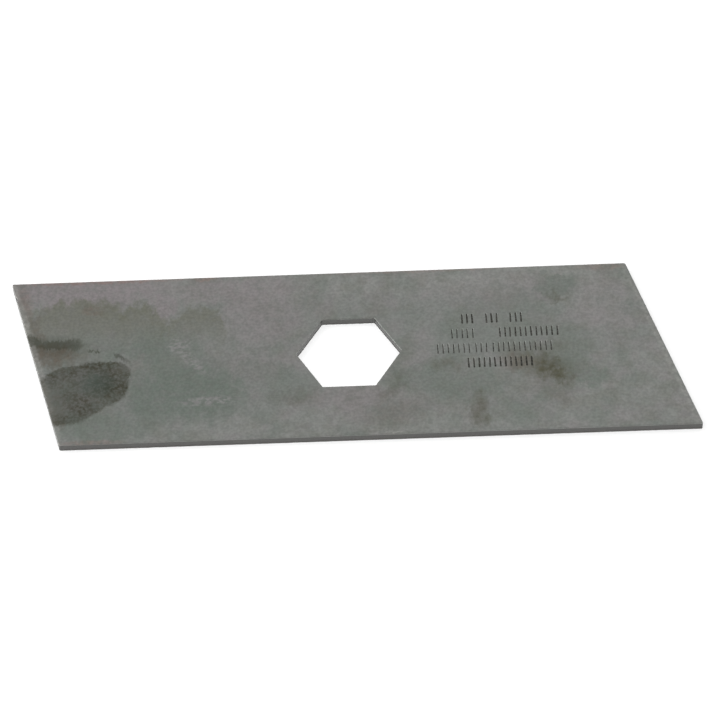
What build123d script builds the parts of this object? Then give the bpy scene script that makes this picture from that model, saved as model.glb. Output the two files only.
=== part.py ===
from build123d import *
import os
from math import cos, radians, sin, tan

# A flat blade punched out of steel sheet, with a hexagonal bore for the shaft that drives it.
# Sizes are in millimetres. The origin is on the bore's axis, in the lower face. +X runs along the
# blade, +Y points to its far long edge and +Z up, out of the face that the punch met first.

# Plate
edge_length = 138.0  # each long edge, from corner to corner
plate_width = 48.6  # from one long edge to the other
end_slant = 15.0  # degrees that both ends lean from square
plate_thickness = 1.8
tip_radius = 0.35  # the two sharp corners, seen from above
shoulder_radius = 0.4  # the two blunt corners, seen from above

# Bore
bore_across_flats = 20.0
bore_corner_radius = 0.2

# Edges as the punch leaves them: drawn in round above, hardly broken below
rim_rounding = 0.2
bore_rounding = 0.2
lower_break = 0.08

# Two nicks in the left end, each with its width along the end
far_nick_distance = 4.8  # from the far edge
far_nick_width = 1.5
far_nick_depth = 0.25
near_nick_distance = 14.0  # from the near edge
near_nick_width = 1.1
near_nick_depth = 0.18

# Stamped rows of plain upright strokes, to the right of the bore
stamp_gap = 7.8  # from the bore's right corner to the first stroke of the longest row
top_row_height = 8.8  # from the blade's middle line up to the middle of the top row
row_pitch = 4.4
stroke_pitch = 1.15
stroke_height = 3.0
stroke_width = 0.48
stroke_depth = 0.15
stroke_draft = 25.0  # degrees that the walls of a stroke lean in
# Each row's indent, how many strokes each of its groups has, and the gap between its groups
stroke_rows = [
    (5.6, [3, 3, 3], 2.6),
    (3.2, [5, 12], 5.5),
    (0.0, [7, 3, 12], 1.0),
    (6.6, [13], 0.0),
]


# The plate seen from above: its far edge lies further to the left than its near edge
def plate_outline():
    half_length = edge_length / 2
    half_width = plate_width / 2
    half_lean = half_width * tan(radians(end_slant))
    sides = Polyline(
        (-half_length + half_lean, -half_width),
        (half_length + half_lean, -half_width),
        (half_length - half_lean, half_width),
        (-half_length - half_lean, half_width),
        close=True,
    )
    outline = make_face(sides)
    outline = fillet(outline.vertices().sort_by(Axis.X)[1:3], shoulder_radius)
    left_to_right = outline.vertices().sort_by(Axis.X)
    return fillet([left_to_right[0], left_to_right[-1]], tip_radius)


# The bore seen from above: two flats lie along the long edges and two corners on the X axis
def bore_outline():
    hexagon = RegularPolygon(bore_across_flats / 2, side_count=6, major_radius=False)
    return fillet(hexagon.vertices(), bore_corner_radius)


# The plate with its bore, rounded round the upper face and broken round the lower one
def bored_plate():
    plate = extrude(plate_outline() - bore_outline(), plate_thickness)
    plate = fillet(plate.faces().sort_by(Axis.Z)[-1].outer_wire().edges(), rim_rounding)
    bore_rim = plate.faces().sort_by(Axis.Z)[-1].inner_wires()[0]
    plate = fillet(bore_rim.edges(), bore_rounding)
    return chamfer(plate.faces().sort_by(Axis.Z)[0].edges(), lower_break)


# A nick is the bite of a round cutter that stands upright just outside the left end. Its height
# is counted from the blade's middle line, up to the far edge.
def nick(height, width, depth):
    cutter_radius = (width**2 / 4 + depth**2) / (2 * depth)
    outward = cutter_radius - depth
    slant = radians(end_slant)
    cutter_x = -edge_length / 2 - height * tan(slant) - outward * cos(slant)
    cutter_y = height - outward * sin(slant)
    return Pos(cutter_x, cutter_y) * extrude(Circle(cutter_radius), plate_thickness)


# The middles of the strokes in one row, group by group from the left
def stroke_places(indent, counts, gap, row_height):
    bore_corner = bore_outline().bounding_box().max.X
    x = bore_corner + stamp_gap + indent + stroke_width / 2
    places = []
    for count in counts:
        for _ in range(count):
            places.append((x, row_height))
            x += stroke_pitch
        x += stroke_width + gap - stroke_pitch
    return places


# What the stamp presses out of the upper face
def strokes():
    places = []
    for number, (indent, counts, gap) in enumerate(stroke_rows):
        row_height = top_row_height - number * row_pitch
        places += stroke_places(indent, counts, gap, row_height)
    stroke = extrude(Rectangle(stroke_width, stroke_height), -stroke_depth, taper=stroke_draft)
    return [Pos(x, y, plate_thickness) * stroke for x, y in places]


blade = bored_plate()
blade -= nick(plate_width / 2 - far_nick_distance, far_nick_width, far_nick_depth)
blade -= nick(near_nick_distance - plate_width / 2, near_nick_width, near_nick_depth)
blade -= strokes()

os.makedirs("parts", exist_ok=True)
export_step(blade, "parts/blade.step")
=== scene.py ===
import math
import random

import bmesh
import bpy
from mathutils import Matrix, Vector, noise


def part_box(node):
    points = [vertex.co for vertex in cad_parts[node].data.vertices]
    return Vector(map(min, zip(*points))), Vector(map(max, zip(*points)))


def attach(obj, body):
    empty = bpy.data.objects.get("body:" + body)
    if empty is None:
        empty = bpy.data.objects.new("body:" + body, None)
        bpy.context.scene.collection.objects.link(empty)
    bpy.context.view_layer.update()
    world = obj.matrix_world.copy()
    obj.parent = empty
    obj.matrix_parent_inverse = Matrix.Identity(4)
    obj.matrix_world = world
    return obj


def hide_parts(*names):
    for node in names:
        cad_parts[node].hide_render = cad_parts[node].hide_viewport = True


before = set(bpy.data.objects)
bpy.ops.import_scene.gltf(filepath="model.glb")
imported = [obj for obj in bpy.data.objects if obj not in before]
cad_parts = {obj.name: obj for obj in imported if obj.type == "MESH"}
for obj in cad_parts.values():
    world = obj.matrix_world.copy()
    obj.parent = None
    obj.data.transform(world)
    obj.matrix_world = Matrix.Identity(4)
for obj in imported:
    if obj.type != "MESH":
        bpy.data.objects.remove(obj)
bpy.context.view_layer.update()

bladeLow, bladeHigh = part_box("blade")
upper = bladeHigh[2]  # height of the upper face


def mm(value):
    return value / 1000


# The punched plate, in millimetres and degrees. Its length, width and thickness come from the frame.
plate = {
    "endSlant": 15.0,
    "tipRadius": 0.35,
    "shoulderRadius": 0.4,
    "boreAcrossFlats": 20.0,
    "boreCornerRadius": 0.2,
    "outlineStep": 0.3,  # between two points along an edge
    "lowerBreak": 0.04,
    "cutLevels": [0.18, 0.34, 0.5, 0.66, 0.82, 0.96, 1.1, 1.35],  # heights of the rows of a cut wall
    "rollInward": 0.18,  # how far the punch drew the upper rim in, and down
    "rollDown": 0.16,
    "rollSteps": 5,
    "tearLevel": 1.0,  # below it a cut wall is torn, above it sheared smooth
    "tearDepth": 0.035,
    "shearDepth": 0.006,
    "boreFlare": 0.04,  # how much wider the torn part of the bore gets downwards
}

# Nicks in the left end: height over the middle line, width, depth and how far down they reach
nicks = [(19.5, 1.5, 0.27, 1.1), (-10.3, 1.1, 0.2, 0.9)]


def smooth(value, low, high):
    share = min(max((value - low) / (high - low), 0), 1)
    return share * share * (3 - 2 * share)


def cornerOffset(radius, angle):
    return mm(radius) / math.tan(math.radians(angle / 2))


def roundCorners(bm, corners, radius, angle, segments):
    bmesh.ops.bevel(bm, geom=corners, affect="VERTICES", offset=cornerOffset(radius, angle),
                    segments=segments, profile=0.5, material=-1)


# How far the corner of the straight edges lies from the middle. A rounded tip ends short of it.
def cornerReach():
    return bladeHigh[0] - mm(plate["tipRadius"]) + cornerOffset(plate["tipRadius"], 90 - plate["endSlant"])


# Where the straight left end lies at a height over the middle line
def leftEnd(height):
    width = bladeHigh[1] - bladeLow[1]
    return -cornerReach() + (width / 2 - height) * math.tan(math.radians(plate["endSlant"]))


def drawOutline(bm):
    slant = math.radians(plate["endSlant"])
    width = bladeHigh[1] - bladeLow[1]
    length = 2 * cornerReach() - width * math.tan(slant)
    bmesh.ops.create_grid(bm, x_segments=1, y_segments=1, size=0.5)
    bmesh.ops.scale(bm, vec=(length, width, 1), verts=bm.verts)
    lean = Matrix.Shear("XZ", 4, (-math.tan(slant), 0))
    bmesh.ops.transform(bm, matrix=lean, verts=bm.verts)
    leftToRight = sorted(bm.verts, key=lambda v: v.co.x)
    tips = [leftToRight[0], leftToRight[-1]]
    roundCorners(bm, leftToRight[1:3], plate["shoulderRadius"], 90 + plate["endSlant"], 4)
    roundCorners(bm, tips, plate["tipRadius"], 90 - plate["endSlant"], 5)


def drawBore(bm):
    cornerRadius = mm(plate["boreAcrossFlats"]) / 2 / math.cos(math.radians(30))
    bore = bmesh.ops.create_circle(bm, cap_ends=True, radius=cornerRadius, segments=6,
                                   matrix=Matrix.Rotation(math.radians(90), 4, "Z"))
    roundCorners(bm, bore["verts"], plate["boreCornerRadius"], 120, 3)


def fineEdges(bm):
    for edge in list(bm.edges):
        cuts = int(edge.calc_length() / mm(plate["outlineStep"]))
        if cuts:
            bmesh.ops.subdivide_edges(bm, edges=[edge], cuts=cuts)


def fillBetween(bm, edges, normal):
    filled = bmesh.ops.triangle_fill(bm, edges=edges, use_beauty=True, normal=normal)
    return [part for part in filled["geom"] if isinstance(part, bmesh.types.BMFace)]


def raiseWalls(bm, underside):
    raised = bmesh.ops.extrude_face_region(bm, geom=underside)
    top = [part for part in raised["geom"] if isinstance(part, bmesh.types.BMFace)]
    rise = upper - mm(plate["rollDown"]) - mm(plate["lowerBreak"])
    lifted = [part for part in raised["geom"] if isinstance(part, bmesh.types.BMVert)]
    bmesh.ops.translate(bm, vec=(0, 0, rise), verts=lifted)
    for level in plate["cutLevels"]:
        everything = bm.verts[:] + bm.edges[:] + bm.faces[:]
        bmesh.ops.bisect_plane(bm, geom=everything, plane_co=(0, 0, mm(level)), plane_no=(0, 0, 1))
    return top


# The rim is a quarter of an ellipse, in steps towards the flat of the plate
def rollRim(bm, top):
    across, down, steps = mm(plate["rollInward"]), mm(plate["rollDown"]), plate["rollSteps"]
    for step in range(steps):
        start, end = (math.radians(90 * part / steps) for part in (step, step + 1))
        bmesh.ops.inset_region(bm, faces=top, use_boundary=True, use_even_offset=True,
                               thickness=across * (math.cos(start) - math.cos(end)),
                               depth=down * (math.sin(end) - math.sin(start)))


def inBore(point):
    reach = mm(plate["boreAcrossFlats"]) * 0.6
    return abs(point.x) < reach and abs(point.y) < reach


# Below the sheared band the steel tore, so the wall is rough there and the bore flares
def tearWalls(bm):
    bm.normal_update()
    shelf = upper - mm(plate["rollDown"])
    moves = {}
    for vert in bm.verts:
        if vert.co.z > shelf + mm(0.01):
            continue
        outward = Vector((vert.normal.x, vert.normal.y, 0)).normalized()
        torn = 1 - smooth(vert.co.z, mm(plate["tearLevel"] - 0.12), mm(plate["tearLevel"] + 0.12))
        streaks = noise.noise(Vector((vert.co.x * 1400, vert.co.y * 1400, vert.co.z * 500)))
        lumps = noise.noise(Vector((vert.co.x * 400, vert.co.y * 400, vert.co.z * 900 + 7)))
        depth = plate["shearDepth"] + torn * (plate["tearDepth"] - plate["shearDepth"])
        move = mm(depth) * (0.6 * streaks + 0.4 * lumps - 0.3 * torn)
        if inBore(vert.co):
            move -= mm(plate["boreFlare"]) * torn * (1 - vert.co.z / mm(plate["tearLevel"] + 0.12))
        moves[vert] = outward * move
    for vert, move in moves.items():
        vert.co += move


def dentEnd(bm):
    slant = math.radians(plate["endSlant"])
    inward = Vector((math.cos(slant), math.sin(slant), 0))
    along = Vector((-math.sin(slant), math.cos(slant), 0))
    for height, width, depth, reach in nicks:
        centre = Vector((leftEnd(mm(height)), mm(height), 0))
        for vert in bm.verts:
            away = vert.co - centre
            sideways = abs(away.dot(along)) / mm(width / 2)
            if sideways >= 1 or away.dot(inward) > mm(2):
                continue
            share = (1 - sideways**2) * smooth(vert.co.z, upper - mm(reach), upper)
            vert.co += inward * mm(depth) * share * (1 - smooth(away.dot(inward), 0, mm(0.9)))
            vert.co.z -= mm(depth) * 0.25 * share * (1 - smooth(away.dot(inward), 0, mm(0.6)))


# The stamped rows of plain upright strokes, in millimetres
stamp = {
    "gap": 7.8,  # from the bore's right corner to the first stroke of the longest row
    "topRow": 8.8,
    "rowPitch": 4.4,
    "strokePitch": 1.15,
    "height": 3.0,
    "width": 0.48,
    "lip": 0.15,  # from a stroke's edge out past the ridge that the stamp raised round it
    "section": [(0.05, 0), (0.05, 0.014), (0.05, -0.02), (0.06, -0.08), (0.06, -0.055), (0.05, -0.015)],
    "slip": 0.04,  # how far a stroke may lie out of place
    "turn": 1.6,  # degrees
    # Each row's indent, the gap between its groups, and the groups: how many strokes, how strong,
    # and the step of the section from which they are dark
    "rows": [
        (5.6, 2.6, [(3, 1.1, 4), (3, 1.15, 4), (3, 1.0, 4)]),
        (3.2, 5.5, [(5, 0.6, 5), (12, 0.8, 4)]),
        (0.0, 1.0, [(7, 0.6, 5), (3, 0.6, 5), (12, 0.7, 5)]),
        (6.6, 0.0, [(13, 1.1, 4)]),
    ],
}


def stampStroke(bm, x, y, strength, dirtyFrom, chance):
    radius = mm(stamp["width"] / 2 + stamp["lip"])
    stroke = bmesh.ops.create_circle(bm, cap_ends=True, radius=radius, segments=12,
                                     matrix=Matrix.Rotation(math.radians(15), 4, "Z"))
    points = stroke["verts"]
    stretch = mm(stamp["height"] + 2 * stamp["lip"]) / 2 - radius
    for half in (1, -1):
        end = [vert for vert in points if vert.co.y * half > 0]
        bmesh.ops.translate(bm, vec=(0, half * stretch, 0), verts=end)
    turn = Matrix.Rotation(math.radians(chance.uniform(-stamp["turn"], stamp["turn"])), 3, "Z")
    bmesh.ops.rotate(bm, cent=(0, 0, 0), matrix=turn, verts=points)
    slip = [mm(chance.uniform(-stamp["slip"], stamp["slip"])) for _ in range(2)]
    bmesh.ops.translate(bm, vec=(mm(x) + slip[0], mm(y) + slip[1], upper), verts=points)
    floor = points[0].link_faces[0]
    floor.normal_update()
    if floor.normal.z < 0:
        floor.normal_flip()
    floor.material_index = 0
    for number, (across, rise) in enumerate(stamp["section"]):
        if number == dirtyFrom:
            floor.material_index = 2
        bmesh.ops.inset_region(bm, faces=[floor], use_boundary=True, use_even_offset=True,
                               thickness=mm(across), depth=mm(rise) * strength)


def stampRows(bm):
    chance = random.Random(11)
    boreCorner = plate["boreAcrossFlats"] / 2 / math.cos(math.radians(30))
    for number, (indent, gap, groups) in enumerate(stamp["rows"]):
        x = boreCorner + stamp["gap"] + indent + stamp["width"] / 2
        y = stamp["topRow"] - number * stamp["rowPitch"]
        for count, strength, dirtyFrom in groups:
            for _ in range(count):
                stampStroke(bm, x, y, strength * chance.uniform(0.7, 1.15), dirtyFrom, chance)
                x += stamp["strokePitch"]
            x += stamp["width"] + gap - stamp["strokePitch"]


def makeBlade():
    bm = bmesh.new()
    drawOutline(bm)
    drawBore(bm)
    fineEdges(bm)
    bmesh.ops.delete(bm, geom=bm.faces[:], context="FACES_ONLY")
    bmesh.ops.translate(bm, vec=(0, 0, mm(plate["lowerBreak"])), verts=bm.verts)
    underside = fillBetween(bm, bm.edges[:], (0, 0, -1))
    top = raiseWalls(bm, underside)
    for face in bm.faces:
        face.material_index = 1
    for face in underside + top:
        face.material_index = 0
    bmesh.ops.recalc_face_normals(bm, faces=bm.faces)
    bmesh.ops.inset_region(bm, faces=underside, use_boundary=True, use_even_offset=True,
                           thickness=mm(plate["lowerBreak"]), depth=mm(plate["lowerBreak"]))
    rollRim(bm, top)
    tearWalls(bm)
    dentEnd(bm)
    bmesh.ops.delete(bm, geom=top, context="FACES")
    stampRows(bm)
    rims = [edge for edge in bm.edges if edge.is_boundary]
    fillBetween(bm, rims, (0, 0, 1))
    bmesh.ops.recalc_face_normals(bm, faces=bm.faces)
    for face in bm.faces:
        face.smooth = True
    mesh = bpy.data.meshes.new("punchedBlade")
    bm.to_mesh(mesh)
    print("blade mesh:", len(bm.verts), "vertices,", sum(len(f.verts) - 2 for f in bm.faces), "triangles,",
          sum(not edge.is_manifold for edge in bm.edges), "open edges")
    bm.free()
    blade = bpy.data.objects.new("punchedBlade", mesh)
    bpy.context.scene.collection.objects.link(blade)
    return blade


blade = makeBlade()
weighted = blade.modifiers.new("weightedNormals", "WEIGHTED_NORMAL")
weighted.keep_sharp = True
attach(blade, "root")
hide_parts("blade")
print("blade made")


def addNode(tree, kind, inputs=None, **options):
    node = tree.nodes.new("ShaderNode" + kind)
    for name, value in options.items():
        setattr(node, name, value)
    for name, value in (inputs or {}).items():
        if isinstance(value, bpy.types.NodeSocket):
            tree.links.new(value, node.inputs[name])
        else:
            node.inputs[name].default_value = value
    return node


def calc(tree, operation, first, second=0.0):
    return addNode(tree, "Math", {0: first, 1: second}, operation=operation).outputs[0]


def ease(tree, value, low, high, start=0.0, end=1.0):
    inputs = {"Value": value, "From Min": low, "From Max": high, "To Min": start, "To Max": end}
    return addNode(tree, "MapRange", inputs, interpolation_type="SMOOTHSTEP").outputs["Result"]


# A cloudy pattern from 0 to 1, whose lumps are size millimetres across, drawn out by stretch
def clouds(tree, coords, size, detail=3.0, stretch=(1, 1, 1)):
    scaled = addNode(tree, "Mapping", {"Vector": coords, "Scale": [1 / (size * s) for s in stretch]})
    inputs = {"Vector": scaled.outputs[0], "Scale": 1.0, "Detail": detail, "Roughness": 0.55}
    return addNode(tree, "TexNoise", inputs).outputs["Fac"]


# An oval from 1 inside to 0 outside. edge is the share of its size over which it fades.
def oval(tree, coords, centre, halfSize, turn=0.0, edge=0.5):
    inputs = {"Vector": coords, "Location": (*centre, 0), "Rotation": (0, 0, math.radians(turn)),
              "Scale": (*halfSize, 1)}
    local = addNode(tree, "Mapping", inputs, vector_type="TEXTURE").outputs[0]
    flat = addNode(tree, "VectorMath", {0: local, 1: (1, 1, 0)}, operation="MULTIPLY").outputs[0]
    far = addNode(tree, "VectorMath", {0: flat}, operation="LENGTH").outputs["Value"]
    return ease(tree, far, 1 - edge / 2, 1 + edge / 2, 1.0, 0.0)


def ovals(tree, coords, spots, edge):
    mask = None
    for centre, halfSize, turn, amount in spots:
        spot = calc(tree, "MULTIPLY", oval(tree, coords, centre, halfSize, turn, edge), amount)
        mask = spot if mask is None else calc(tree, "MAXIMUM", mask, spot)
    return mask


def blend(tree, mask, under, over):
    inputs = {"Factor": mask, "A": under, "B": over}
    mix = addNode(tree, "Mix", {}, data_type="RGBA")
    for name, value in inputs.items():
        socket = next(s for s in mix.inputs if s.name == name and s.enabled)
        if isinstance(value, bpy.types.NodeSocket):
            tree.links.new(value, socket)
        else:
            socket.default_value = value
    return next(s for s in mix.outputs if s.enabled)


# A tone as the eye sees it, 0 to 255, as the colour of metal that mirrors the studio's grey
def tone(red, green, blue):
    return (*[((part / 255 + 0.055) / 1.055) ** 2.4 / light["seenLevel"] for part in (red, green, blue)], 1)


light = {"seenLevel": 0.4}


def startMaterial(name):
    material = bpy.data.materials.new(name)
    material.use_nodes = True
    tree = material.node_tree
    shader = tree.nodes["Principled BSDF"]
    shader.inputs["Metallic"].default_value = 1
    place = addNode(tree, "TexCoord").outputs["Object"]
    coords = addNode(tree, "VectorMath", {0: place, 1: (1000, 1000, 1000)}, operation="MULTIPLY").outputs[0]
    return material, tree, shader, coords


def finishMaterial(tree, shader, colour, roughness, height, depth):
    tree.links.new(colour, shader.inputs["Base Color"])
    tree.links.new(roughness, shader.inputs["Roughness"])
    bump = addNode(tree, "Bump", {"Height": height, "Distance": mm(depth), "Strength": 1.0})
    tree.links.new(bump.outputs[0], shader.inputs["Normal"])


# Moves a pattern's coordinates about, so that outlines drawn in them wander
def wander(tree, coords, size, reach, stretch=(1, 1, 1)):
    scaled = addNode(tree, "Mapping", {"Vector": coords, "Scale": [1 / (size * s) for s in stretch]})
    inputs = {"Vector": scaled.outputs[0], "Scale": 1.0, "Detail": 4.0, "Roughness": 0.6}
    colour = addNode(tree, "TexNoise", inputs).outputs["Color"]
    inputs = {0: colour, 1: (2 * reach, 2 * reach, 0), 2: (-reach, -reach, 0)}
    move = addNode(tree, "VectorMath", inputs, operation="MULTIPLY_ADD").outputs[0]
    return addNode(tree, "VectorMath", {0: coords, 1: move}, operation="ADD").outputs[0]


def shade(tree, colour, gain):
    grey = addNode(tree, "CombineColor", {"Red": gain, "Green": gain, "Blue": gain}).outputs[0]
    mix = addNode(tree, "Mix", {}, data_type="RGBA", blend_type="MULTIPLY")
    factor, under, over = [socket for socket in mix.inputs if socket.enabled]
    factor.default_value = 1
    tree.links.new(colour, under)
    tree.links.new(grey, over)
    return next(socket for socket in mix.outputs if socket.enabled)


# Stains, and painted highlights, on the upper face. A spot is an oval's middle, its half sizes, its turn in degrees
# and its strength, all in millimetres as seen from above.
sheet = {
    "steel": (121, 123, 120),
    "roughness": 0.4,
    # How dark the painted shade on the rolled rim gets
    "rimShade": 0.64,
    "grain": 0.11,  # how much lighter and darker the rolling lines are
    "pale": (130, 131, 128),
    "paleSpots": [((6, 21.5), (60, 4.5), 0, 1.0), ((0, -21.5), (64, 4), 0, 0.6),
                  ((66, -12), (7, 12), 15, 0.5), ((55, 14), (5, 8), 15, 0.6), ((55, -14), (6, 6), 0, 0.6)],
    "paintedHighlight": (142, 142, 138),  # painted highlights: a light strip along each end and a glint on the near edge
    "paintedHighlightSpots": [((-68.7, 0), (0.9, 26), 15, 0.8), ((68.2, 0), (0.5, 26), 15, 0.4),
                      ((9.5, -23.7), (1.6, 0.25), 0, 1.0)],
    "lilac": (129, 124, 125),
    "lilacSpots": [((-58, 21), (18, 4.5), 0, 1.0), ((-19, 12), (9, 9), 0, 0.6), ((-41.5, 15.5), (2.6, 5), 0, 0.9),
                   ((-26, 20), (15, 4), 0, 0.7), ((34, 17), (16, 4), 0, 0.3), ((57, 12), (6, 8), 15, 0.4),
                   ((-23, -3.5), (10, 4), 0, 0.45), ((-1, -13.5), (9, 4), 0, 0.6), ((8, -17), (8, 4), 0, 0.4)],
    "olive": (110, 111, 104),
    "oliveSpots": [((-59.5, 7.5), (13.5, 10.5), 2, 1.0), ((-47, 6), (6.5, 10), -8, 1.0),
                   ((-33, 7.6), (6.6, 7.0), 8, 1.0)],
    "oliveFade": (2, 13),  # from faint to full, in millimetres over the middle line
    "tideLine": (96, 97, 80),
    "green": (101, 109, 102),
    "greenSpots": [((-36, -10), (14, 9), 4, 0.85), ((-60, 3), (12, 6), 0, 0.5), ((-54, -20), (11, 4), 0, 0.65),
                   ((-14, -9), (7, 5), 0, 0.4), ((-43, 3), (4.5, 7), 0, 0.7), ((-38, 3), (6, 5), 0, 0.6),
                   ((22, -9), (12, 4), -4, 0.4), ((34, 7), (14, 8), 0, 0.32), ((47, -2), (6, 8), 0, 0.5),
                   ((13, -8), (4, 3), 0, 0.5), ((27, -11.5), (7, 4), 0, 0.5), ((52, -9.5), (4, 3), 0, 0.7),
                   ((-43, 3), (5, 5), 0, 0.75), ((-21, -5), (5, 3), 0, 0.4), ((36, -20), (9, 3), 0, 0.4),
                   ((46, 18), (4.6, 3.2), 10, 0.65), ((36, -17), (7, 3), 0, 0.3)],
    "brown": (79, 78, 64),
    "brownSpots": [((44.2, -7.3), (5.4, 3.0), -55, 0.95), ((40.0, -3.4), (5.4, 2.6), -15, 0.6),
                   ((47.2, -7), (3.4, 3.6), 0, 0.35), ((44, -0.5), (3.5, 1.8), 0, 0.3), ((41.5, -7.5), (4.5, 3), -45, 0.4),
                   ((28.0, -18), (2.1, 4.0), 6, 0.62), ((46.8, 14.6), (2.7, 1.3), -15, 0.5),
                   ((10, -18.3), (6, 3.2), 10, 0.3), ((44, -14), (4, 2), -40, 0.3), ((21.5, -4.5), (3, 2), 0, 0.4),
                   ((9, -11.5), (4, 1.6), 52, 0.4), ((-12, -13), (6, 2.2), 0, 0.25)],
    "grime": (51, 53, 40),
    "umber": (57, 55, 43),
    "clay": (98, 91, 83),
    "claySpots": [((-66, 2.0), (7, 3.0), -5, 0.9), ((-71.4, 15), (1.3, 8), 15, 0.4), ((-69, 8.6), (2, 1.2), -30, 0.5),
                  ((-57, 15), (2.6, 1.5), 0, 0.35), ((-64.5, -17.5), (2.5, 2), 0, 0.4), ((37.5, -4.8), (4, 2.2), -10, 0.5)],
    "smearSpots": [((-70, 6.5), (2.8, 1.5), -28, 0.7), ((-64.2, 4.9), (5.6, 1.4), -4, 0.7),
                   ((-61.2, 4.9), (2.3, 1.9), 0, 0.62), ((-65, 4.6), (6.5, 2.8), -8, 0.28),
                   ((-56.8, 3.0), (0.6, 0.35), 0, 0.5), ((-55.2, 2.6), (0.7, 0.35), -20, 0.6),
                   ((-50.4, 0.9), (1.6, 0.55), -42, 0.55), ((-49.2, -0.2), (1.4, 0.5), -42, 0.35)],
    "thumbSpots": [((-55.5, -7.3), (7.5, 6.9), -6, 1.0), ((-61.5, -10.4), (7.6, 8.1), 8, 1.0),
                   ((-57.8, -10), (6.2, 6.2), 0, 1.0), ((-51.6, -3.9), (3.9, 3.4), -20, 1.0),
                   ((-61, -4.6), (5.5, 3.2), 8, 1.0), ((-63.5, -15), (4.2, 3.6), 25, 1.0)],
    "thumbStrength": 0.49,  # over all of the thumb's smear, and more where it is dark
    "thumbDark": [((-51, -6), (5, 8), 0, 0.2), ((-57, -14), (7, 3), -30, 0.14), ((-55.5, -1.5), (6, 1.8), 0, 0.16),
                  ((-65.5, -5), (2.5, 2.5), 0, 0.14), ((-62.5, -17), (2.6, 2.4), 0, 0.2),
                  ((-60.5, -4), (3.5, 2.2), 0, 0.14)],
    "teal": (66, 78, 73),
    "tealSpots": [((-55.2, -6.8), (3.6, 3.2), -20, 0.5)],
    "scuff": (129, 128, 127),
    "scuffSpots": [((-37.5, 3.5), (2.4, 2.2), 0, 0.8), ((-34.5, -1), (5.0, 1.3), -55, 0.75),
                   ((-30.5, -13), (6.5, 1.2), 3, 0.8), ((-22, -9), (5, 2.5), 0, 0.25)],
    "rust": (132, 108, 100),
    "rustSpots": [((-56, 24), (18, 0.7), 0, 0.5), ((-32, 23.9), (2.6, 0.9), 0, 0.5), ((-72.3, 19), (1.5, 5), 15, 0.2),
                  ((-57, 15), (2, 1.3), 0, 0.2), ((-56, -23.9), (7, 0.6), 0, 0.3), ((16, 24), (20, 0.5), 0, 0.25),
                  ((57, 23.4), (5, 1.0), 0, 0.3)],
}


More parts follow.
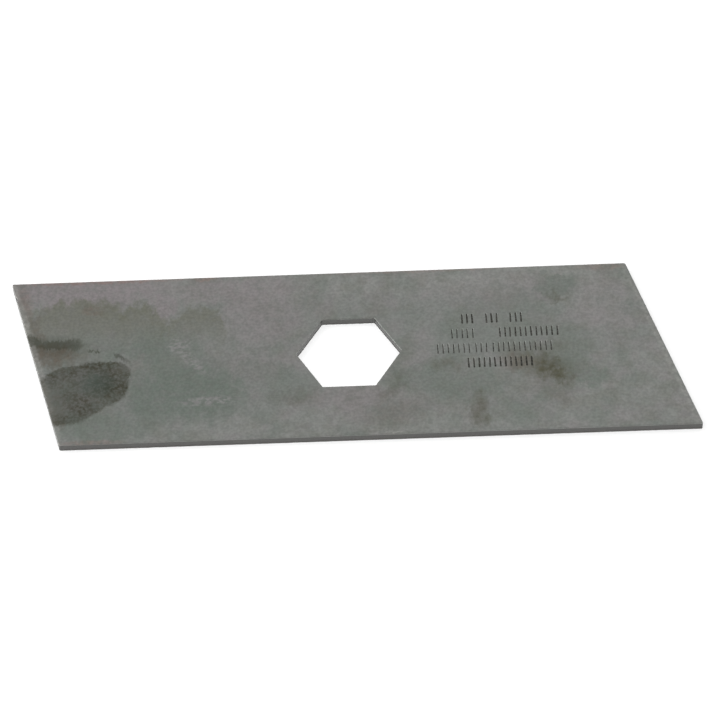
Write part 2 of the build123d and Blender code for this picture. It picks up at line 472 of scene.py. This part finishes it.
def makeSheetFace():
    material, tree, shader, coords = startMaterial("sheetFace")
    across, height = addNode(tree, "SeparateXYZ", {0: coords}).outputs[1:]
    onTop = ease(tree, height, 1.2, 1.5)
    drifting = wander(tree, coords, 3.6, 4.5, (0.6, 1.4, 1))
    ragged = wander(tree, drifting, 0.9, 1.3, (0.7, 1.3, 1))
    fringed = wander(tree, coords, 0.8, 0.9, (0.7, 1.3, 1))
    combs = clouds(tree, coords, 0.25, 2.0, (1, 12, 12))
    combMove = addNode(tree, "CombineXYZ", {"Y": ease(tree, combs, 0.3, 0.75, 0.25, -0.5)}).outputs[0]
    combed = addNode(tree, "VectorMath", {0: fringed, 1: combMove}, operation="ADD").outputs[0]

    broad = clouds(tree, coords, 6, 4.0)
    mottle = clouds(tree, coords, 1.6, 4.0)
    pores = clouds(tree, coords, 0.55, 4.0, (1.1, 1.2, 1))
    lines = clouds(tree, coords, 0.17, 2.0, (22, 1, 1))

    def stainAndHighlight(under, spots, over, edge, where, patches, least, strength=1.0):
        mask = calc(tree, "MULTIPLY", ovals(tree, where, spots, edge), ease(tree, patches, 0.3, 0.65, least, 1.0))
        mask = calc(tree, "MULTIPLY", mask, onTop)
        amount = mask if strength == 1 else calc(tree, "MULTIPLY", mask, strength)
        return blend(tree, amount, under, tone(*over)), mask

    colour, _ = stainAndHighlight(tone(*sheet["steel"]), sheet["paleSpots"], sheet["pale"], 1.0, drifting, mottle, 0.6)
    # Faint tints all over
    for size, tint in ((7, "green"), (5, "lilac"), (4, "olive")):
        tinted = ease(tree, clouds(tree, coords, size, 4.0), 0.42, 0.66, 0.0, 0.4)
        colour = blend(tree, calc(tree, "MULTIPLY", tinted, onTop), colour, tone(*sheet[tint]))
    colour, _ = stainAndHighlight(colour, sheet["lilacSpots"], sheet["lilac"], 0.8, ragged, mottle, 0.5)
    colour, _ = stainAndHighlight(colour, sheet["greenSpots"], sheet["green"], 0.7, ragged, mottle, 0.5)
    # The olive film ends in a dried line at the top and thins out downwards
    film = calc(tree, "MULTIPLY", ovals(tree, ragged, sheet["oliveSpots"], 0.3), onTop)
    thin = ease(tree, across, *sheet["oliveFade"])
    faded = calc(tree, "MULTIPLY", film, calc(tree, "MULTIPLY", thin, ease(tree, mottle, 0.3, 0.6, 0.6, 1.0)))
    colour = blend(tree, faded, colour, tone(*sheet["olive"]))
    inside = ovals(tree, ragged, sheet["oliveSpots"], 0.75)
    dried = calc(tree, "MULTIPLY", film, calc(tree, "SUBTRACT", 1.0, inside))
    dried = calc(tree, "MULTIPLY", calc(tree, "MULTIPLY", dried, thin), ease(tree, broad, 0.4, 0.6, 0.3, 1.3))
    colour = blend(tree, dried, colour, tone(*sheet["tideLine"]))
    colour, _ = stainAndHighlight(colour, sheet["rustSpots"], sheet["rust"], 0.9, fringed, mottle, 0.2)
    colour, _ = stainAndHighlight(colour, sheet["brownSpots"], sheet["brown"], 1.4, ragged, mottle, 0.55)
    colour, _ = stainAndHighlight(colour, sheet["claySpots"], sheet["clay"], 1.3, ragged, mottle, 0.6)
    # Painted highlights: light strips along both ends and a glint on the near edge, standing in for light caught by
    # the rims
    colour, _ = stainAndHighlight(colour, sheet["paintedHighlightSpots"], sheet["paintedHighlight"], 1.2, fringed, mottle, 0.4)
    colour, smear = stainAndHighlight(colour, sheet["smearSpots"], sheet["grime"], 0.75, combed, pores, 0.75)

    thumbTone = calc(tree, "ADD", ovals(tree, coords, sheet["thumbDark"], 1.6), sheet["thumbStrength"])
    patches = calc(tree, "MULTIPLY", ease(tree, broad, 0.35, 0.65, 0.85, 1.1), ease(tree, mottle, 0.3, 0.65, 0.84, 1.14))
    thumbTone = calc(tree, "MULTIPLY", thumbTone, patches)
    thumb = calc(tree, "MULTIPLY", ovals(tree, fringed, sheet["thumbSpots"], 0.16), thumbTone)
    thumb = calc(tree, "MULTIPLY", thumb, ease(tree, pores, 0.32, 0.62, 0.65, 1.15))
    thumb = calc(tree, "MULTIPLY", thumb, onTop)
    skin = blend(tree, ease(tree, mottle, 0.4, 0.6), tone(*sheet["grime"]), tone(*sheet["umber"]))
    colour = blend(tree, thumb, colour, skin)
    colour, _ = stainAndHighlight(colour, sheet["tealSpots"], sheet["teal"], 1.2, fringed, pores, 0.5)

    flecks = ease(tree, clouds(tree, coords, 0.9, 4.0, (1.5, 1, 1)), 0.42, 0.58)
    scuff = calc(tree, "MULTIPLY", ovals(tree, fringed, sheet["scuffSpots"], 0.8), flecks)
    colour = blend(tree, calc(tree, "MULTIPLY", scuff, onTop), colour, tone(*sheet["scuff"]))

    # Rolling lines, pores and a light mottle over everything
    speckle = calc(tree, "ADD", calc(tree, "MULTIPLY", lines, 0.14), calc(tree, "MULTIPLY", pores, 0.58))
    speckle = calc(tree, "ADD", speckle, calc(tree, "MULTIPLY", mottle, 0.28))
    colour = shade(tree, colour, ease(tree, speckle, 0.36, 0.64, 1 - sheet["grain"], 1 + sheet["grain"]))
    # Painted shade: the rolled rim is darkened towards its edge, standing in for the darker surroundings it mirrors;
    # the underside is left out
    rim = ease(tree, height, upper * 1000 - 0.14, upper * 1000 - 0.01, sheet["rimShade"], 1.0)
    underneath = ease(tree, height, 1.2, 1.5, 1.0, 0.0)
    colour = shade(tree, colour, calc(tree, "MAXIMUM", rim, underneath))

    roughness = ease(tree, broad, 0.3, 0.7, sheet["roughness"] - 0.015, sheet["roughness"] + 0.015)
    dull = calc(tree, "MULTIPLY", calc(tree, "MAXIMUM", smear, thumb), 0.12)
    roughness = calc(tree, "ADD", roughness, dull)
    bumps = calc(tree, "ADD", calc(tree, "MULTIPLY", lines, 0.15), calc(tree, "MULTIPLY", pores, 0.5))
    finishMaterial(tree, shader, colour, roughness, bumps, 0.012)
    return material


cut = {
    # The torn band is lighter than the sheared one: partly the rough torn steel, partly painted reflection of the
    # floor that lightens the lower part of each cut wall
    "sheared": (67, 67, 66),
    "torn": (74, 73, 72),
    "shearedRoughness": 0.35,
    "tornRoughness": 0.6,
}


def makeCutEdge():
    material, tree, shader, coords = startMaterial("cutEdge")
    height = addNode(tree, "SeparateXYZ", {0: coords}).outputs["Z"]
    wander = calc(tree, "MULTIPLY_ADD", clouds(tree, coords, 2.0), 0.5)
    level = calc(tree, "ADD", height, calc(tree, "SUBTRACT", wander, 0.25))
    torn = ease(tree, level, plate["tearLevel"] - 0.1, plate["tearLevel"] + 0.1, 1.0, 0.0)
    grains = clouds(tree, coords, 0.12, 3.0)
    strokes = clouds(tree, coords, 0.1, 2.0, (1, 1, 12))
    # Lighter towards the bottom: the torn band's tone, partly painted reflection of the floor
    colour = blend(tree, torn, tone(*cut["sheared"]), tone(*cut["torn"]))
    roughness = ease(tree, torn, 0.0, 1.0, cut["shearedRoughness"], cut["tornRoughness"])
    bumps = calc(tree, "ADD", calc(tree, "MULTIPLY", grains, torn), calc(tree, "MULTIPLY", strokes, 0.3))
    colour = blend(tree, ease(tree, grains, 0.3, 0.7, 0.0, 0.35), colour, tone(38, 36, 33))
    finishMaterial(tree, shader, colour, roughness, bumps, 0.03)
    return material


stampTone = {"floor": (44, 44, 41), "worn": (84, 83, 79)}


def makeStampFloor():
    material, tree, shader, coords = startMaterial("stampFloor")
    crumbs = clouds(tree, coords, 0.3, 3.0)
    colour = blend(tree, ease(tree, crumbs, 0.35, 0.65), tone(*stampTone["floor"]), tone(*stampTone["worn"]))
    finishMaterial(tree, shader, colour, ease(tree, crumbs, 0.3, 0.7, 0.6, 0.45), crumbs, 0.02)
    return material


blade.data.materials.append(makeSheetFace())
blade.data.materials.append(makeCutEdge())
blade.data.materials.append(makeStampFloor())
print("materials made")

# The photograph's camera: degrees, millimetres
look = {
    "elevation": 47.427,
    "turn": -1.066,
    "roll": 2.781,
    "distance": 658.21,
    "slide": (2.425, -0.552),
    "lens": 149.734,
}


def addCamera():
    data = bpy.data.cameras.new("photoCamera")
    data.lens = look["lens"]
    data.sensor_width = 36
    camera = bpy.data.objects.new("photoCamera", data)
    aim = (Matrix.Rotation(math.radians(-look["turn"]), 4, "Z")
           @ Matrix.Rotation(math.radians(90 - look["elevation"]), 4, "X")
           @ Matrix.Rotation(math.radians(-look["roll"]), 4, "Z"))
    slideX, slideY = look["slide"]
    camera.matrix_world = aim @ Matrix.Translation((mm(slideX), mm(slideY), mm(look["distance"])))
    bpy.context.scene.collection.objects.link(camera)
    bpy.context.scene.camera = camera


addCamera()

studio = {
    "floorSize": 6.0,
    "floorColour": (0.86, 0.86, 0.86),
    "backLight": 0.425,  # how bright the studio is behind the blade, and on the camera's side
    "frontLight": 0.32,
    "leftToRight": (0.85, 1.15),
    "floorPower": 26,  # the overhead lamp that whitens the floor only
    "sidePower": 4,  # the softbox on the left that lights the blade
}


def addFloor():
    bm = bmesh.new()
    bmesh.ops.create_grid(bm, x_segments=1, y_segments=1, size=studio["floorSize"] / 2)
    bmesh.ops.translate(bm, vec=(0, 0, -mm(0.02)), verts=bm.verts)
    mesh = bpy.data.meshes.new("floor")
    bm.to_mesh(mesh)
    bm.free()
    floor = bpy.data.objects.new("floor", mesh)
    bpy.context.scene.collection.objects.link(floor)
    material = bpy.data.materials.new("paleFloor")
    material.use_nodes = True
    shader = material.node_tree.nodes["Principled BSDF"]
    shader.inputs["Base Color"].default_value = (*studio["floorColour"], 1)
    shader.inputs["Roughness"].default_value = 0.9
    shader.inputs["Specular IOR Level"].default_value = 0.1
    mesh.materials.append(material)
    return floor


def addLight(name, place, size, power):
    data = bpy.data.lights.new(name, "AREA")
    data.shape = "DISK"
    data.size = size
    data.energy = power
    lamp = bpy.data.objects.new(name, data)
    lamp.location = place
    lamp.rotation_euler = (-Vector(place)).to_track_quat("-Z", "Y").to_euler()
    bpy.context.scene.collection.objects.link(lamp)
    return lamp


# A soft studio all round, a little darker towards the camera and to the left
def addSurroundings():
    world = bpy.data.worlds.new("studio")
    bpy.context.scene.world = world
    world.use_nodes = True
    tree = world.node_tree
    background = tree.nodes["Background"]
    direction = addNode(tree, "TexCoord").outputs["Generated"]
    axes = addNode(tree, "SeparateXYZ", {0: direction}).outputs
    depth = ease(tree, axes["Y"], -0.8, 0.6, studio["frontLight"], studio["backLight"])
    strength = calc(tree, "MULTIPLY", depth, ease(tree, axes["X"], -0.4, 0.4, *studio["leftToRight"]))
    tree.links.new(strength, background.inputs["Strength"])
    background.inputs["Color"].default_value = (1, 1, 1, 1)


floor = addFloor()
addSurroundings()
addLight("leftSoftbox", (-1.2, 0.35, 1.0), 1.0, studio["sidePower"])
overhead = addLight("overheadLamp", (-0.4, 0.1, 1.5), 1.6, studio["floorPower"])
floorOnly = bpy.data.collections.new("floorOnly")
floorOnly.objects.link(floor)
overhead.light_linking.receiver_collection = floorOnly
overhead.light_linking.blocker_collection = floorOnly
bpy.context.scene.view_settings.view_transform = "Standard"
print("studio made")
